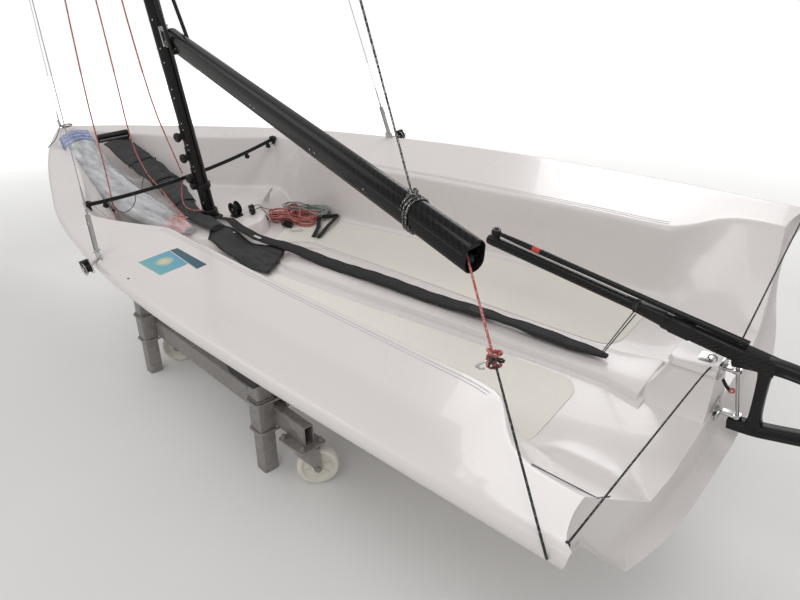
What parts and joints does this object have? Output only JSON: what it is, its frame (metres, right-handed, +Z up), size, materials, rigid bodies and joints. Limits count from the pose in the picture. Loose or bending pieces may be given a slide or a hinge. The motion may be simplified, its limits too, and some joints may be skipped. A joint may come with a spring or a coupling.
{
  "type": "sailing dinghy on show cradle",
  "caption": "Open sailing dinghy with side tanks, bare raked mast, drooping boom, framed rudder with tiller, and a galvanised cradle on legs and casters.",
  "frame": {"origin": "on the floor, in the middle of the whole outline, as the boat leans on its cradle", "axes": "+X towards the bow, +Y to port, +Z up"},
  "size_m": [5.325, 1.8724, 6.8005],
  "materials": {
    "gelcoat_white": "glossy moulded gelcoat",
    "tread_cream": "fine non-slip texture",
    "carbon_black": "clear-coated carbon fibre",
    "hardware_black": "black anodised and moulded fittings",
    "stainless": "stainless steel",
    "galvanised": "hot-dip galvanised steel",
    "rubber_black": "matt rubber",
    "mesh_black": "open mesh cloth",
    "strap_black": "padded webbing",
    "wrapper_clear": "rolled sailcloth in clear film",
    "rope_red": "braided red rope",
    "rope_grey": "braided grey-green rope",
    "rope_black": "braided black line",
    "nylon_cream": "cast nylon"
  },
  "bodies": {
    "hull": {"hull_shell": "gelcoat_white", "floor_tread": "tread_cream", "mast_lower": "carbon_black", "mast_upper": "carbon_black", "mast_foot": "hardware_black", "mast_cleats": "hardware_black", "spreaders": "carbon_black", "shroud_port": "stainless", "shroud_starboard": "stainless", "forestay": "stainless", "bow_fitting": "stainless", "chainplates": "hardware_black", "jib_track": "hardware_black", "track_clamp": "hardware_black", "chute_roller": "hardware_black", "chute_sock": "mesh_black", "chute_panel": "mesh_black", "wrapped_sail": "wrapper_clear", "toe_strap": "strap_black", "foot_blocks": "hardware_black", "red_hank": "rope_red", "grey_hank": "rope_grey", "fore_line": "rope_black", "aft_line": "rope_black", "bar_lanyard": "rope_black", "gudgeons": "stainless", "pintle_rod": "stainless", "gooseneck_bracket": "stainless", "cradle_frame": "galvanised", "cradle_legs": "galvanised", "cradle_sleeves": "galvanised", "cradle_clamps": "galvanised", "cradle_pads": "rubber_black", "caster_plates": "galvanised"},
    "boom": {"boom_tube": "carbon_black", "gooseneck": "hardware_black", "gnav_struts": "hardware_black"},
    "rudder": {"rudder_stock": "carbon_black", "tiller": "carbon_black", "tiller_joint": "rubber_black"},
    "blade": {"rudder_blade": "carbon_black"},
    "extension": {"tiller_extension": "carbon_black"},
    "caster_aft_port": {"fork_aft_port": "galvanised"},
    "wheel_aft_port": {"wheel_aft_port": "nylon_cream"},
    "caster_aft_starboard": {"fork_aft_starboard": "galvanised"},
    "wheel_aft_starboard": {"wheel_aft_starboard": "nylon_cream"},
    "caster_fore_port": {"fork_fore_port": "galvanised"},
    "wheel_fore_port": {"wheel_fore_port": "nylon_cream"},
    "caster_fore_starboard": {"fork_fore_starboard": "galvanised"},
    "wheel_fore_starboard": {"wheel_fore_starboard": "nylon_cream"}
  },
  "joints": [
    {"name": "boom_swing", "type": "hinge", "parent": "hull", "child": "boom", "pos_m": [0.81368, 0.03212, 1.51225], "axis": [-0.0403, 0.1649, 0.9855], "range_deg": [-39.5, 64.5]},
    {"name": "rudder_turn", "type": "hinge", "parent": "hull", "child": "rudder", "pos_m": [-1.6665, -0.12658, 0.5639], "axis": [0.1433, 0.1633, 0.9761], "range_deg": [-40, 40]},
    {"name": "blade_lift", "type": "hinge", "parent": "rudder", "child": "blade", "pos_m": [-2.0045, -0.11915, 0.60828], "axis": [0, -0.9863, 0.165], "range_deg": [0, 80]},
    {"name": "extension_swing", "type": "hinge", "parent": "rudder", "child": "extension", "pos_m": [-0.9038, -0.06512, 0.93113], "axis": [-0.1924, 0.162, 0.9679], "range_deg": [-170, 170]},
    {"name": "swivel_aft_port", "type": "hinge", "parent": "hull", "child": "caster_aft_port", "pos_m": [-0.46728, 0.43449, 0.182], "axis": [0, 0, 1], "continuous": true},
    {"name": "spin_aft_port", "type": "hinge", "parent": "caster_aft_port", "child": "wheel_aft_port", "pos_m": [-0.49806, 0.39509, 0.076], "axis": [0.788, -0.6157, 0], "continuous": true},
    {"name": "swivel_aft_starboard", "type": "hinge", "parent": "hull", "child": "caster_aft_starboard", "pos_m": [-0.46728, -0.69815, 0.182], "axis": [0, 0, 1], "continuous": true},
    {"name": "spin_aft_starboard", "type": "hinge", "parent": "caster_aft_starboard", "child": "wheel_aft_starboard", "pos_m": [-0.51058, -0.67315, 0.076], "axis": [-0.5, -0.866, 0], "continuous": true},
    {"name": "swivel_fore_port", "type": "hinge", "parent": "hull", "child": "caster_fore_port", "pos_m": [0.6965, 0.23317, 0.182], "axis": [0, 0, 1], "continuous": true},
    {"name": "spin_fore_port", "type": "hinge", "parent": "caster_fore_port", "child": "wheel_fore_port", "pos_m": [0.73366, 0.26663, 0.076], "axis": [-0.6691, 0.7431, 0], "continuous": true},
    {"name": "swivel_fore_starboard", "type": "hinge", "parent": "hull", "child": "caster_fore_starboard", "pos_m": [0.6965, -0.49683, 0.182], "axis": [0, 0, 1], "continuous": true},
    {"name": "spin_fore_starboard", "type": "hinge", "parent": "caster_fore_starboard", "child": "wheel_fore_starboard", "pos_m": [0.64952, -0.51393, 0.076], "axis": [0.342, -0.9397, 0], "continuous": true}
  ]
}
